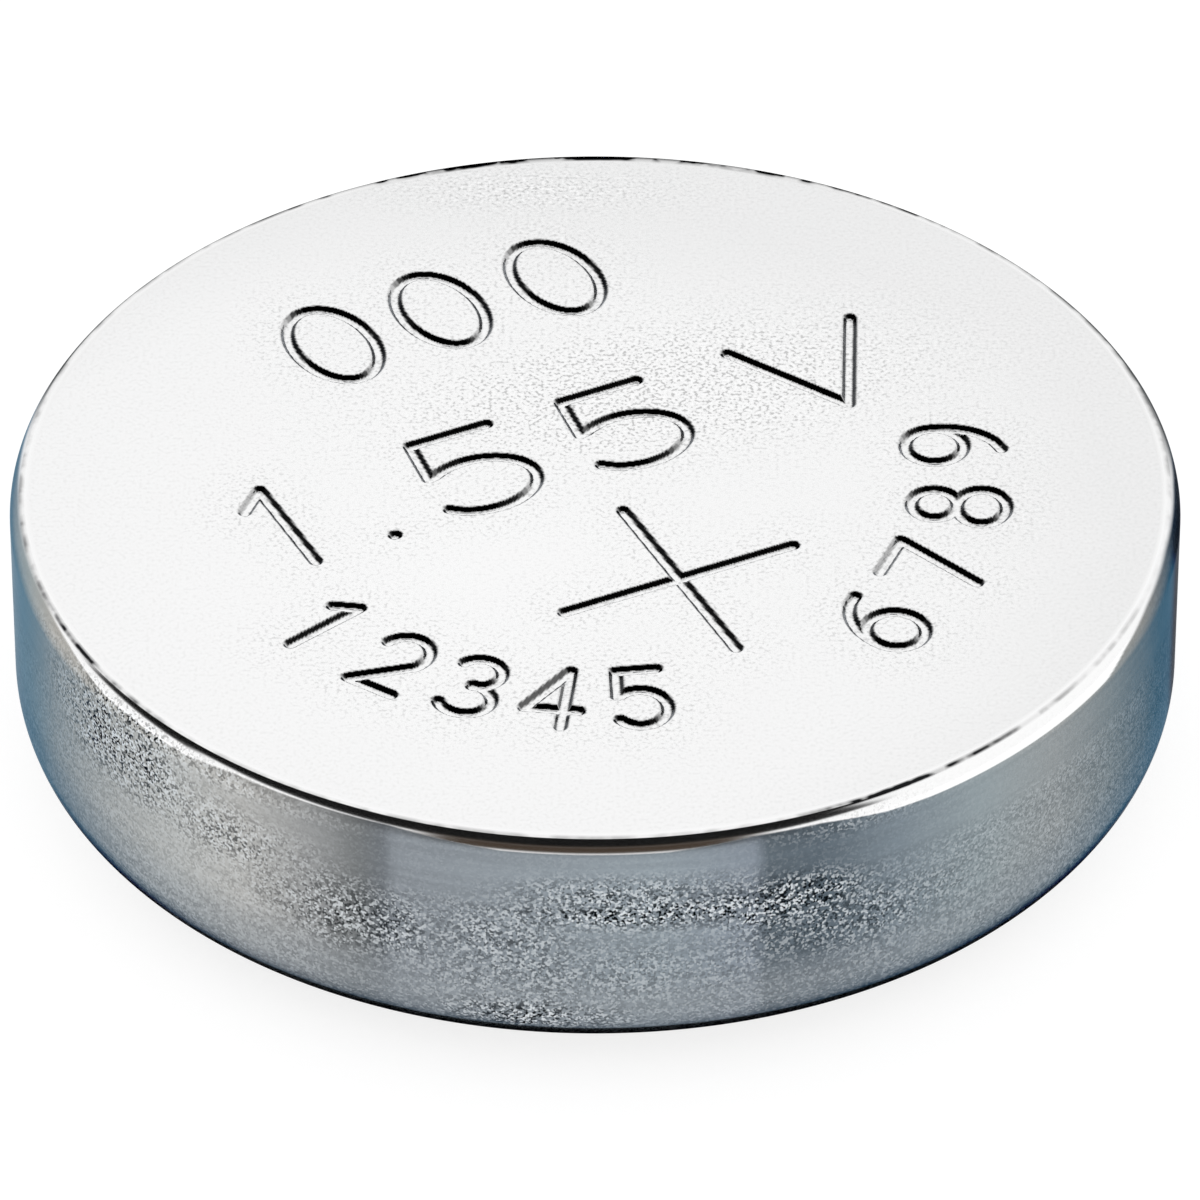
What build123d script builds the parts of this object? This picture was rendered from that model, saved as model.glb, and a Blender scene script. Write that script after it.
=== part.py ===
from build123d import *
from math import cos, radians, sin
import os

# Silver oxide button cell, positive face up. All sizes in millimetres.
# The origin is the middle of the negative contact face, and +Z runs to the positive face.

# Outside of the cell
cell_diameter = 7.90
cell_height = 2.05
cap_stand_off = 0.20  # contact face to the lowest point of the crimped lip

# Can: one drawn sheet, its open end rolled in over the gasket
can_sheet = 0.16
can_corner_radius = 0.21  # outside bend between positive face and wall
face_crease = 40.0  # degrees turned where the coined flat of the face meets that bend
crimp_radius = 0.50  # outside bend of the rolled lip
crimp_turn = 80.0  # degrees that the sheet is rolled in
lip_run = 0.15  # straight end of the lip past the roll

# Cap: one drawn sheet, its rim hemmed back on the outside
cap_sheet = 0.15
cap_height = 1.09  # contact face to the crest of the hem
hem_gap = 0.03  # left between the two plies
ledge_rise = 0.13  # shoulder to the cut end of the outer ply
shoulder_width = 0.42  # flat step between crown and skirt
crown_draft = 0.10  # how far the crown narrows towards the contact face
contact_bend = 0.30
shoulder_root_bend = 0.12
shoulder_edge_bend = 0.20

# Gasket: J-section nylon ring
gasket_wall = 0.18  # between can and hem
gasket_foot = 0.12  # between the crest of the hem and the barrier discs
gasket_squeeze = 0.17  # between lip and shoulder
gasket_leg = 0.15  # thickness of the short leg inside the hem
gasket_leg_length = 0.26
gasket_reveal = 0.20  # width of the bead that shows inside the lip
bead_bend = 0.05

# Cathode side
ring_sheet = 0.12
ring_flange = 0.45  # width of the flange under the pellet
ring_bend = 0.15  # outside bend between leg and flange
ring_floor_gap = 0.05  # leg to the floor of the can
pellet_edge_break = 0.05
cellulose_thickness = 0.04
membrane_thickness = 0.05
film_edge_clearance = 0.05

# Anode side
absorber_thickness = 0.18
absorber_edge_clearance = 0.02

# Can, worked out from the sizes above
can_radius = cell_diameter / 2
bore_radius = can_radius - can_sheet
can_floor_z = cell_height - can_sheet
face_radius = can_radius - can_corner_radius * (1 - sin(radians(face_crease)))
wall_top_z = cell_height - can_corner_radius * cos(radians(face_crease))
lip_drop = lip_run * cos(radians(crimp_turn))
roll_start_z = cap_stand_off + crimp_radius * sin(radians(crimp_turn)) + lip_drop
lip_inside_z = roll_start_z - (crimp_radius - can_sheet) * sin(radians(crimp_turn)) - lip_drop

# Levels between cap and can, where the pellet takes what height is left
membrane_z = cap_height + gasket_foot
cellulose_z = membrane_z + membrane_thickness
pellet_z = cellulose_z + cellulose_thickness
absorber_z = membrane_z - absorber_thickness
leg_end_z = membrane_z - gasket_leg_length

# Cap, which takes its radii from the bore and its shoulder from the lip
hem_bend = hem_gap / 2
fold_z = cap_height - cap_sheet - hem_bend
skirt_radius = bore_radius - gasket_wall - cap_sheet - hem_gap
shoulder_radius = skirt_radius - shoulder_width
crown_radius = shoulder_radius - crown_draft
shoulder_z = lip_inside_z + gasket_squeeze
ledge_z = shoulder_z + ledge_rise
leg_radius = skirt_radius - cap_sheet - gasket_leg


def spin(section):
    # a half section drawn in X and Z becomes a solid of revolution
    return revolve(Plane.XZ * section, Axis.Z)


def sheet(edges, thickness, side):
    # section of a bent sheet, from the line of one face and its thickness
    return make_face(Wire(edges).offset_2d(thickness, side=side))


def disc(radius, low_z, thickness):
    base = (Align.CENTER, Align.CENTER, Align.MIN)
    return Pos(0, 0, low_z) * Cylinder(radius, thickness, align=base)


def wall_and_lip(top_z):
    # outside of the can, from a level on the wall to the tip of the lip
    wall = Line((can_radius, top_z), (can_radius, roll_start_z))
    roll = JernArc(wall @ 1, wall % 1, crimp_radius, -crimp_turn)
    lip = Line(roll @ 1, (roll @ 1) + (roll % 1) * lip_run)
    return wall, roll, lip


def cup_line(top_z):
    # outside of the cap, from its middle to a level on the skirt
    corners = [
        (0, 0),
        (crown_radius, 0),
        (shoulder_radius, shoulder_z),
        (skirt_radius, shoulder_z),
        (skirt_radius, top_z),
    ]
    return FilletPolyline(*corners, radius=[contact_bend, shoulder_root_bend, shoulder_edge_bend])


def cup_room(top_z):
    # everything within the outside of the cap, up to a level
    lid = Polyline((skirt_radius, top_z), (0, top_z), (0, 0))
    return make_face([*cup_line(top_z).edges(), *lid.edges()])


def can_section():
    face = Line((0, cell_height), (face_radius, cell_height))
    corner_way = (cos(radians(face_crease)), -sin(radians(face_crease)))
    corner = JernArc(face @ 1, corner_way, can_corner_radius, face_crease - 90)
    return sheet([face, corner, *wall_and_lip(wall_top_z)], can_sheet, Side.RIGHT)


def cap_section():
    # the rim is folded back outwards, and the cut end of its outer ply is the ledge under the crimp
    fold = JernArc((skirt_radius, fold_z), (0, 1), hem_bend, -180)
    outer_ply = Line(fold @ 1, (skirt_radius + hem_gap, ledge_z))
    return sheet([*cup_line(fold_z).edges(), fold, outer_ply], cap_sheet, Side.LEFT)


def hem_slit():
    low = (skirt_radius, ledge_z)
    high = (skirt_radius + hem_gap, cap_height)
    return make_face(Polyline(low, (high[0], low[1]), high, (low[0], high[1]), close=True))


def gasket_section():
    # the nylon takes all the room that the crimp leaves between can and cap
    wall, roll, lip = wall_and_lip(membrane_z)
    lip_tip = lip @ 1
    lip_way = lip % 1
    bead_z = (lip_tip + Vector(lip_way.Y, -lip_way.X) * (can_sheet / 2)).Y
    bead_radius = lip_tip.X - gasket_reveal
    bead_top = (bead_radius, shoulder_z + cap_sheet / 2)
    bead = FilletPolyline(
        lip_tip,
        (lip_tip.X, bead_z),
        (bead_radius, bead_z),
        bead_top,
        radius=[bead_bend / 2, bead_bend],
    )
    back = Polyline(bead_top, (leg_radius, leg_end_z), (leg_radius, membrane_z), (can_radius, membrane_z))
    room = make_face([wall, roll, lip, *bead.edges(), *back.edges()])
    return room - can_section() - cap_section() - cup_room(leg_end_z) - hem_slit()


def ring_section():
    # L section: a flange under the pellet and a leg along the bore
    line = FilletPolyline(
        (bore_radius - ring_flange, pellet_z),
        (bore_radius, pellet_z),
        (bore_radius, can_floor_z - ring_floor_gap),
        radius=ring_bend,
    )
    return sheet(line.edges(), ring_sheet, Side.LEFT)


def pellet_section():
    # pressed into the ring, so its foot steps round the flange and its face is flush with it
    step = Polyline(
        (0, pellet_z),
        (bore_radius - ring_flange, pellet_z),
        (bore_radius - ring_flange, pellet_z + ring_sheet),
    )
    side = bore_radius - ring_sheet
    body = FilletPolyline(
        step @ 1,
        (side, pellet_z + ring_sheet),
        (side, can_floor_z),
        (0, can_floor_z),
        radius=[ring_bend - ring_sheet, pellet_edge_break],
    )
    axis = Line(body @ 1, step @ 0)
    return make_face([*step.edges(), *body.edges(), axis])


def zinc_section():
    # the gel fills the cup up to the absorber pad, round the short leg of the gasket
    return cup_room(absorber_z) - cap_section() - gasket_section()


film_radius = bore_radius - film_edge_clearance
pieces = {
    "positive_can": spin(can_section()),
    "cathode_pellet": spin(pellet_section()),
    "cathode_support_ring": spin(ring_section()),
    "cellulose_film": disc(film_radius, cellulose_z, cellulose_thickness),
    "grafted_membrane": disc(film_radius, membrane_z, membrane_thickness),
    "absorber_pad": disc(leg_radius - absorber_edge_clearance, absorber_z, absorber_thickness),
    "sealing_gasket": spin(gasket_section()),
    "zinc_anode": spin(zinc_section()),
    "negative_cap": spin(cap_section()),
}

os.makedirs("parts", exist_ok=True)
for name, piece in pieces.items():
    export_step(piece, f"parts/{name}.step")
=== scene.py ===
import math

import bpy
import numpy as np
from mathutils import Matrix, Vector
from mathutils.geometry import delaunay_2d_cdt


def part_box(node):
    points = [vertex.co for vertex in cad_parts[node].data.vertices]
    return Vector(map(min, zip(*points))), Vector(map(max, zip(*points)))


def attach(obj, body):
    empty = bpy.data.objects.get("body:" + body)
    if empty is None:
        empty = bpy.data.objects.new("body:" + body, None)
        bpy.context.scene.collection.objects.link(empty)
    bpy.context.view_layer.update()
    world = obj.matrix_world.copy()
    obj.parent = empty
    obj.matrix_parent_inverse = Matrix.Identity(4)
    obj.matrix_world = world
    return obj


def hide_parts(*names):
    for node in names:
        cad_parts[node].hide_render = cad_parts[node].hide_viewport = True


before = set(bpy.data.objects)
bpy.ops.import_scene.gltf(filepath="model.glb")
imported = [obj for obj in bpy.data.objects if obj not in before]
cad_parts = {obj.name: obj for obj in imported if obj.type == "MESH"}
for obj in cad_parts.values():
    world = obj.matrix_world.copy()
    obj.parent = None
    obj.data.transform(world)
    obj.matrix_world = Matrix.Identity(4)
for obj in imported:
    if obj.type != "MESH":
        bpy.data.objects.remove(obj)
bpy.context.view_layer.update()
mm = 0.001  # the CAD frame is in metres, and every size below is in millimetres


def hexToLinear(code):
    # the linear colour that nodes take, from an sRGB hex code
    parts = [int(code[i:i + 2], 16) / 255 for i in (1, 3, 5)]
    return (*[c / 12.92 if c <= 0.04045 else ((c + 0.055) / 1.055) ** 2.4 for c in parts], 1.0)


def feed(tree, node, inputs):
    # inputs are values, sockets, or nodes that stand for the first output they have in use
    for name, value in inputs.items():
        if isinstance(value, bpy.types.Node):
            value = next(output for output in value.outputs if output.enabled)
        if isinstance(value, bpy.types.NodeSocket):
            tree.links.new(value, node.inputs[name])
        else:
            node.inputs[name].default_value = value


def addNode(tree, kind, inputs=None, stops=None, **settings):
    # one node: settings are its own fields, inputs feed its sockets, and stops are the
    # (place, colour) pairs of a colour ramp, where a number stands for a grey
    # (in a Mix node 0 is the share, 2 and 3 are its two numbers, and 6 and 7 its two colours)
    node = tree.nodes.new(kind)
    for name, value in settings.items():
        setattr(node, name, value)
    feed(tree, node, inputs or {})
    for i, (place, colour) in enumerate(stops or []):
        points = node.color_ramp.elements
        point = points[i] if i < len(points) else points.new(place)
        point.position = place
        point.color = hexToLinear(colour) if isinstance(colour, str) else (colour, colour, colour, 1)
    return node


def perSize(size):
    # noise scale for a pattern whose features measure size millimetres
    return 1 / (size * mm)


def newMaterial(name, values):
    # values go to the shader's own sockets, for what is the same all over the surface
    material = bpy.data.materials.new(name)
    material.use_nodes = True
    tree = material.node_tree
    shader = tree.nodes["Principled BSDF"]
    feed(tree, shader, values)
    place = addNode(tree, "ShaderNodeTexCoord").outputs["Object"]
    return material, tree, shader, place


def meshObject(name, points, faces):
    mesh = bpy.data.meshes.new(name)
    mesh.from_pydata([tuple(c * mm for c in p) for p in points], [], faces)
    mesh.update()
    piece = bpy.data.objects.new(name, mesh)
    bpy.context.scene.collection.objects.link(piece)
    return piece


def addAttribute(mesh, name, values, kind="FLOAT"):
    attribute = mesh.attributes.new(name, kind, "POINT")
    field = "value" if kind == "FLOAT" else "color"
    attribute.data.foreach_set(field, np.asarray(values, np.float32).ravel())


def blend(value, low, high):
    # a smooth step from 0 at low to 1 at high
    t = np.clip((value - low) / (high - low), 0, 1)
    return t * t * (3 - 2 * t)


def arc(centre, radius, start, end, steps):
    # points on an arc of a half section, angles in degrees from +X towards +Z
    turns = np.radians(np.linspace(start, end, steps + 1))
    return [(centre[0] + radius * math.cos(t), centre[1] + radius * math.sin(t)) for t in turns]


def bentSheet(corners, bends, thickness):
    # the two faces of a bent sheet: the line through the corners, and the one to the left of it
    near, far = [], []

    def add(point, way, side):
        near.append(tuple(point))
        far.append(tuple(point + Vector((-way.y, way.x)) * side))

    corners = [Vector(c) for c in corners]
    ways = [(b - a).normalized() for a, b in zip(corners, corners[1:])]
    add(corners[0], ways[0], thickness)
    for corner, into, out, bend in zip(corners[1:-1], ways, ways[1:], bends):
        turn = math.atan2(into.x * out.y - into.y * out.x, into.dot(out))
        start = corner - into * bend * math.tan(abs(turn) / 2)
        side = math.copysign(bend, turn)
        centre = start + Vector((-into.y, into.x)) * side
        steps = max(3, round(math.degrees(abs(turn)) / 6))
        for k in range(steps + 1):
            swing = turn * k / steps
            way = Vector((into.x * math.cos(swing) - into.y * math.sin(swing),
                          into.x * math.sin(swing) + into.y * math.cos(swing)))
            add(centre - Vector((-way.y, way.x)) * side, way, thickness)
    add(corners[-1], ways[-1], thickness)
    return near, far


def spinSection(section, segments, closed=False):
    # rings of a half section turned about Z, joined by quads; a point on the axis is one vertex
    points, faces, rings = [], [], []
    for r, z in section:
        if r < 1e-6:
            rings.append([len(points)] * segments)
            points.append((0, 0, z))
            continue
        rings.append(list(range(len(points), len(points) + segments)))
        for k in range(segments):
            turn = 2 * math.pi * k / segments
            points.append((r * math.cos(turn), r * math.sin(turn), z))
    pairs = list(zip(rings, rings[1:]))
    if closed:
        pairs.append((rings[-1], rings[0]))
    for upper, lower in pairs:
        for k in range(segments):
            m = (k + 1) % segments
            face = dict.fromkeys((upper[k], lower[k], lower[m], upper[m]))
            if len(face) > 2:
                faces.append(tuple(face))
    return points, faces


# bright nickel plate, and the colour it turns to when it is seen at a low angle
brightSheen = "#C6C9CD"
brightPlate = {"Metallic": 1.0, "Specular Tint": hexToLinear(brightSheen)}

# the can: its box comes from the CAD, and its sheet and bends are the same as there
canLow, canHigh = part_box("positive_can")
can = {
    "radius": canHigh.x / mm,
    "top": canHigh.z / mm,
    "lipLow": canLow.z / mm,
    "sheet": 0.16,
    "cornerRadius": 0.21,
    "crease": 40,  # degrees turned where the coined flat meets the bend
    "creaseRound": 0.030,
    "flatEdge": 0.05,  # width of the outermost ring of the flat that is turned with the wall
    "flatRing": 0.02,  # one more ring, this close to the crease, keeps the flat flat
    "crimpRadius": 0.50,
    "crimpTurn": 80,
    "lipRun": 0.15,
    "lipEdgeRound": 0.02,
    "insideRings": (0.4, 1.5),  # rings that keep the inside square: below its corner, and on its floor
    "steps": {"crease": 7, "corner": 28, "wall": 20, "roll": 32, "inside": 8, "edge": 4},
    "segments": 480,
}

# marks stamped in the positive face, as single strokes; places and sizes are on the face
marks = {
    "floorHalfWidth": 0.018,
    "wallWidth": 0.037,
    "depth": 0.033,
    "step": 0.05,  # a stroke is measured as straight pieces this long
    "shadeFacing": (0.33, 0.94),  # painted shade is strongest on the groove walls on this side of a stroke, which face the front
    "shadeLeast": 0.3,  # share of that painted shade on the other side
    "shadeSides": (-0.2, 0.5),  # it grows between these shares of facing that way
    "shadeSlope": 0.7,  # slope of the groove's wall where the painted shade is full
    "crawlReach": 0.30,  # how far beside a stroke the plate crawled
    # the plate also crawled here: place, turn of the patch, half widths along and across, strength
    "crawled": [(-0.45, 3.45, 0, 0.90, 0.25, 1.8), (0.45, 1.08, 12, 1.55, 0.66, 3.5)],
    "plus": {"centre": (0.56, -1.08), "arm": 0.85, "turn": 26},
    "row": {"centre": (-0.19, 0.45), "height": 0.89, "turn": 26.5,
            # each sign with its width and the gap after it
            "signs": [("1", 0.50, 0.34), (".", 0.12, 0.34), ("5", 0.78, 0.36), ("5", 0.78, 0.62),
                      ("V", 0.95, 0)]},
    "numerals": {"text": "000", "height": 0.88, "width": 0.55, "turn": 27.5,
                 "centres": [(-1.80, 1.60), (-1.07, 2.01), (-0.28, 2.40)]},
    "lowArc": {"text": "12345", "radius": 2.40, "height": 0.60, "width": 0.36,
               "turns": [221, 236.5, 250.5, 263.5, 277]},
    "sideArc": {"text": "6789", "radius": 2.46, "height": 0.64, "width": 0.40,
                "turns": [-39.5, -22.5, -6, 10.5]},
}


def curve(cx, cy, rx, ry, start, end):
    # part of an oval as a stroke, with a point about every 9 degrees
    steps = max(4, int(abs(end - start) / 9))
    turns = np.radians(np.linspace(start, end, steps + 1))
    return [(cx + rx * math.cos(t), cy + ry * math.sin(t)) for t in turns]


# each sign is drawn in a box 1 wide and 1 high, as open strokes
signStrokes = {
    "0": [curve(0.5, 0.5, 0.5, 0.5, 90, 450)],
    "1": [[(0.22, 0.80), (0.60, 1.0), (0.60, 0.0)]],
    "2": [curve(0.5, 0.70, 0.46, 0.30, 165, -28) + [(0.04, 0.0), (1.0, 0.0)]],
    "3": [curve(0.47, 0.755, 0.42, 0.245, 150, -90), curve(0.47, 0.265, 0.50, 0.265, 90, -150)],
    "4": [[(0.72, 0.0), (0.72, 1.0), (0.0, 0.30), (1.0, 0.30)]],
    "5": [[(0.90, 1.0), (0.16, 1.0), (0.10, 0.56)] + curve(0.48, 0.32, 0.50, 0.32, 128, -145)],
    "6": [curve(0.5, 0.31, 0.48, 0.31, 0, 360), curve(0.92, 0.33, 0.90, 0.67, 180, 98)],
    "7": [[(0.0, 1.0), (0.96, 1.0), (0.34, 0.0)]],
    "8": [curve(0.5, 0.76, 0.40, 0.24, 0, 360), curve(0.5, 0.26, 0.48, 0.26, 90, 450)],
    "9": [curve(0.5, 0.69, 0.48, 0.31, 0, 360), curve(0.08, 0.67, 0.90, 0.67, 0, -82)],
    ".": [[(0.48, 0.03), (0.52, 0.03)]],
    "V": [[(0.0, 1.0), (0.5, 0.0), (1.0, 1.0)]],
}


def placeSign(sign, centre, right, up, width, height):
    # the strokes of a sign in its place on the face
    placed = []
    for stroke in signStrokes[sign]:
        placed.append([
            tuple(centre[i] + right[i] * (x - 0.5) * width + up[i] * (y - 0.5) * height for i in (0, 1))
            for x, y in stroke
        ])
    return placed


def turned(degrees):
    # the ways right and up of a line of signs that is turned by some degrees
    t = math.radians(degrees)
    return (math.cos(t), math.sin(t)), (-math.sin(t), math.cos(t))


def markStrokes():
    # all the strokes of the face, in millimetres
    strokes = []
    plus = marks["plus"]
    right, up = turned(plus["turn"])
    for way in (right, up):
        arm = [tuple(plus["centre"][i] + s * plus["arm"] * way[i] for i in (0, 1)) for s in (-1, 1)]
        strokes.append(arm)
    row = marks["row"]
    right, up = turned(row["turn"])
    x = -sum(width + gap for sign, width, gap in row["signs"]) / 2
    for sign, width, gap in row["signs"]:
        centre = tuple(row["centre"][i] + right[i] * (x + width / 2) for i in (0, 1))
        strokes += placeSign(sign, centre, right, up, width, row["height"])
        x += width + gap
    group = marks["numerals"]
    right, up = turned(group["turn"])
    for sign, centre in zip(group["text"], group["centres"]):
        strokes += placeSign(sign, centre, right, up, group["width"], group["height"])
    for group in (marks["lowArc"], marks["sideArc"]):
        for sign, turn in zip(group["text"], group["turns"]):
            out, along = turned(turn)
            centre = tuple(group["radius"] * c for c in out)
            strokes += placeSign(sign, centre, along, (-out[0], -out[1]), group["width"], group["height"])
    return strokes


def cutIntoSteps(strokes, step):
    # the same strokes as short straight pieces: start, end
    starts, ends = [], []
    for stroke in strokes:
        for p, q in zip(stroke, stroke[1:]):
            n = max(1, round(math.dist(p, q) / step))
            for k in range(n):
                starts.append([p[i] + (q[i] - p[i]) * k / n for i in (0, 1)])
                ends.append([p[i] + (q[i] - p[i]) * (k + 1) / n for i in (0, 1)])
    return np.array(starts), np.array(ends)


binSize = 0.25  # strokes are looked up by square bins of the face
strokeReach = 0.35  # past this a place counts as away from every stroke
farAway = 9.0  # the distance it is then given, which is more than the face is wide


def binStrokes(starts, ends):
    bins = {}
    for i, (p, q) in enumerate(zip(starts, ends)):
        low = np.floor((np.minimum(p, q) - strokeReach) / binSize).astype(int)
        high = np.floor((np.maximum(p, q) + strokeReach) / binSize).astype(int)
        for a in range(low[0], high[0] + 1):
            for b in range(low[1], high[1] + 1):
                bins.setdefault((a, b), []).append(i)
    return bins


def measureStrokes(places, starts, ends, bins):
    # distance from each place to the nearest stroke, and the way that it grows
    far = np.full(len(places), farAway)
    way = np.zeros((len(places), 2))
    keys = np.floor(places / binSize).astype(int)
    order = np.lexsort((keys[:, 1], keys[:, 0]))
    cuts = np.flatnonzero(np.any(np.diff(keys[order], axis=0), axis=1)) + 1
    for group in np.split(order, cuts):
        near = bins.get(tuple(keys[group[0]]))
        if near is None:
            continue
        p, q = starts[near], ends[near]
        d = q - p
        rel = places[group][:, None, :] - p[None]
        t = np.clip((rel * d).sum(2) / (d * d).sum(1), 0, 1)
        off = rel - t[..., None] * d
        dist = np.hypot(off[..., 0], off[..., 1])
        best = dist.argmin(1)
        rows = np.arange(len(group))
        far[group] = dist[rows, best]
        way[group] = off[rows, best] / np.maximum(dist[rows, best], 1e-9)[:, None]
    return far, way


def grooveDepth(distance):
    # depth and slope of the groove at a distance from the middle of its stroke
    t = np.clip((distance - marks["floorHalfWidth"]) / marks["wallWidth"], 0, 1)
    depth = marks["depth"] * (1 - t * t * (3 - 2 * t))
    slope = marks["depth"] * 6 * t * (1 - t) / marks["wallWidth"]
    return depth, slope


# the vertices of the face: how far apart they lie, and how far past the edge of a groove that goes
faceRows = [(0.012, 0.012), (0.03, 0.07), (0.11, math.inf)]
rowHeight = 0.866  # from one row to the next, for vertices that lie 1 apart
rimMargin = 0.06  # no loose vertex lies closer to the rim than this
scatter = 0.1  # each is moved at random by up to this share of the spacing


def facePlaces(measure, edgeRadius, segments):
    # where the face gets a vertex: close rows along each stroke, coarser away from it
    rng = np.random.default_rng(7)
    half = marks["floorHalfWidth"] + marks["wallWidth"]
    low = 0.0
    places = []
    for spacing, reach in faceRows:
        n = int(edgeRadius * 2 / spacing) + 2
        xs = (np.arange(n) - n / 2) * spacing
        ys = (np.arange(int(n / rowHeight)) - n / rowHeight / 2) * spacing * rowHeight
        gx, gy = np.meshgrid(xs, ys)
        gx = gx + (np.arange(len(ys)) % 2)[:, None] * spacing / 2
        grid = np.stack([gx.ravel(), gy.ravel()], 1)
        grid = grid[np.hypot(grid[:, 0], grid[:, 1]) < edgeRadius - rimMargin]
        far = measure(grid)[0]
        grid = grid[(far >= low) & (far < half + reach)]
        places.append(grid + rng.uniform(-scatter, scatter, grid.shape) * spacing)
        low = half + reach
    turns = 2 * math.pi * np.arange(segments) / segments
    rim = np.stack([np.cos(turns), np.sin(turns)], 1) * edgeRadius
    return rim, np.concatenate(places)


def rolledLip():
    # the lip: centre of its roll, radius inside it, the way its straight run goes, and the ends of the run
    turn = math.radians(can["crimpTurn"])
    run = can["lipRun"]
    rollZ = can["lipLow"] + can["crimpRadius"] * math.sin(turn) + run * math.cos(turn)
    centre = Vector((can["radius"] - can["crimpRadius"], rollZ))
    along = Vector((-math.sin(turn), -math.cos(turn)))
    out = Vector((math.cos(turn), -math.sin(turn)))
    inner = can["crimpRadius"] - can["sheet"]
    tipIn = centre + out * inner + along * run
    tipOut = centre + out * can["crimpRadius"] + along * run
    return {"centre": centre, "inner": inner, "along": along, "tipIn": tipIn, "tipOut": tipOut}


def canSection():
    # from the edge of the flat face, down the outside, round the lip and back up the inside
    r, top, sheet, steps = can["radius"], can["top"], can["sheet"], can["steps"]
    corner, roll, crease = can["cornerRadius"], can["crimpRadius"], math.radians(can["crease"])
    bendCentre = (r - corner, top - corner * math.cos(crease))
    # the crease is eased by a small round that touches both the flat and the bend
    ease = can["creaseRound"]
    rise = top - ease - bendCentre[1]
    flatEnd = bendCentre[0] + math.sqrt((corner - ease) ** 2 - rise ** 2)
    meets = math.degrees(math.asin(rise / (corner - ease)))
    outside = [(flatEnd - can["flatEdge"], top), (flatEnd - can["flatRing"], top)]
    outside += arc((flatEnd, top - ease), ease, 90, meets, steps["crease"])
    outside += arc(bendCentre, corner, meets, 0, steps["corner"])[1:]
    lip = rolledLip()
    drop = lip["centre"].y - bendCentre[1]
    outside += [(r, bendCentre[1] + drop * k / steps["wall"]) for k in range(1, steps["wall"])]
    outside += arc(lip["centre"], roll, 0, -can["crimpTurn"], steps["roll"])
    # both edges of the cut end are broken a little
    ease = can["lipEdgeRound"]
    along, tipIn, tipOut = lip["along"], lip["tipIn"], lip["tipOut"]
    across = (tipIn - tipOut).normalized()
    fan = [math.radians(90 * k / steps["edge"]) for k in range(steps["edge"] + 1)]
    tip = [tuple(tipOut + (across - along + along * math.sin(a) - across * math.cos(a)) * ease) for a in fan]
    tip += [tuple(tipIn + (along * math.cos(a) + across * math.sin(a) - across - along) * ease) for a in fan]
    inside = arc(lip["centre"], lip["inner"], -can["crimpTurn"], 0, steps["inside"])
    below, floorRing = can["insideRings"]
    inside += [(r - sheet, top - sheet - below), (r - sheet, top - sheet)]
    inside += [(floorRing, top - sheet), (0, top - sheet)]
    return outside + tip + inside


def setFaceNormals(mesh, rename, way, slope):
    # the face gets its own normals, so that the groove walls shade without facets
    normals = np.zeros(len(mesh.vertices) * 3, np.float32)
    mesh.vertices.foreach_get("normal", normals)
    normals = normals.reshape(-1, 3)
    own = np.column_stack([-way * slope[:, None], np.ones(len(way))])
    normals[rename] = own / np.linalg.norm(own, axis=1)[:, None]
    mesh.normals_split_custom_set_from_vertices([tuple(n) for n in normals])


def crawledPlate(flatXY, far):
    # how much the plate crawled at each place of the face: beside the strokes, and in its patches
    crawled = np.exp(-(far / marks["crawlReach"]) ** 2)
    for cx, cy, turn, along, across, strength in marks["crawled"]:
        right, up = turned(turn)
        off = flatXY - (cx, cy)
        spread = np.exp(-(off @ np.array(right) / along) ** 2 - (off @ np.array(up) / across) ** 2)
        crawled = np.maximum(crawled, strength * spread)
    return crawled


def buildCan():
    segments = can["segments"]
    section = canSection()
    points, faces = spinSection(section, segments)
    starts, ends = cutIntoSteps(markStrokes(), marks["step"])
    bins = binStrokes(starts, ends)
    rim, places = facePlaces(lambda p: measureStrokes(p, starts, ends, bins), section[0][0], segments)
    flat = [Vector(p) for p in np.concatenate([rim, places]).tolist()]
    ring = [(k, (k + 1) % segments) for k in range(segments)]
    made = delaunay_2d_cdt(flat, ring, [], 1, 1e-7)  # 1 asks for the triangles inside the ring
    flatXY = np.array([tuple(c) for c in made[0]])
    far, way = measureStrokes(flatXY, starts, ends, bins)
    depth, slope = grooveDepth(far)
    # the rim of the face shares the first ring of the wall, and its other vertices follow the wall's
    first = len(points)
    wallFaces = len(faces)
    for (x, y), d in zip(flatXY[segments:], depth[segments:]):
        points.append((x, y, can["top"] - d))
    rename = np.array(list(range(segments)) + [first + k for k in range(len(flatXY) - segments)])
    faces += [tuple(int(rename[i]) for i in tri) for tri in made[2]]
    piece = meshObject("can_shell", points, faces)
    mesh = piece.data
    mesh.shade_smooth()
    setFaceNormals(mesh, rename, way, slope)
    # painted shade on a groove's wall, strongest on the walls that face the front, and how much the plate
    # crawled
    least = marks["shadeLeast"]
    sideShare = least + (1 - least) * blend(way @ np.array(marks["shadeFacing"]), *marks["shadeSides"])
    grooveShade = np.zeros(len(points))
    grooveShade[rename] = np.clip(slope / marks["shadeSlope"], 0, 1) * sideShare
    addAttribute(mesh, "grooveShade", grooveShade)
    near = np.zeros(len(points))
    near[rename] = crawledPlate(flatXY, far)
    addAttribute(mesh, "nearMark", near)
    return piece, wallFaces


# the face is whitest here and greyer up to the reach
whitestPlace = {"centre": (-1.0, -1.0), "reach": 5.2}

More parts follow.
